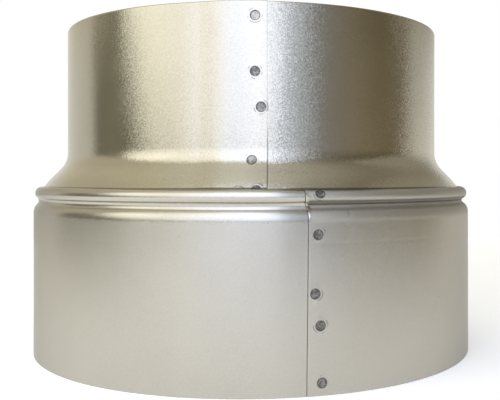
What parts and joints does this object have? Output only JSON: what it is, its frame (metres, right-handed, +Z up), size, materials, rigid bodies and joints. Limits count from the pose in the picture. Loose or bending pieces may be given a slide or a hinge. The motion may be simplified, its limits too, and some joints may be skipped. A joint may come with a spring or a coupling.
{
  "type": "stove pipe increaser",
  "caption": "Round sheet-steel stove pipe increaser: a small socket flares out, through a curled bead that locks the sheets together, into a wider spigot.",
  "frame": {"origin": "centre of the bottom rim of the large collar", "axes": "+Z up the pipe's axis from the large end to the small end, -Y to the front, where both lap seams are"},
  "size_m": [0.1796, 0.1796, 0.128],
  "materials": {
    "small_sheet": "hot-dip aluminised sheet, bright rolled, with a fine mottle",
    "large_sheet": "hot-dip aluminised sheet, satin"
  },
  "bodies": {
    "root": {"small_collar": "small_sheet", "large_collar": "large_sheet"}
  },
  "joints": []
}
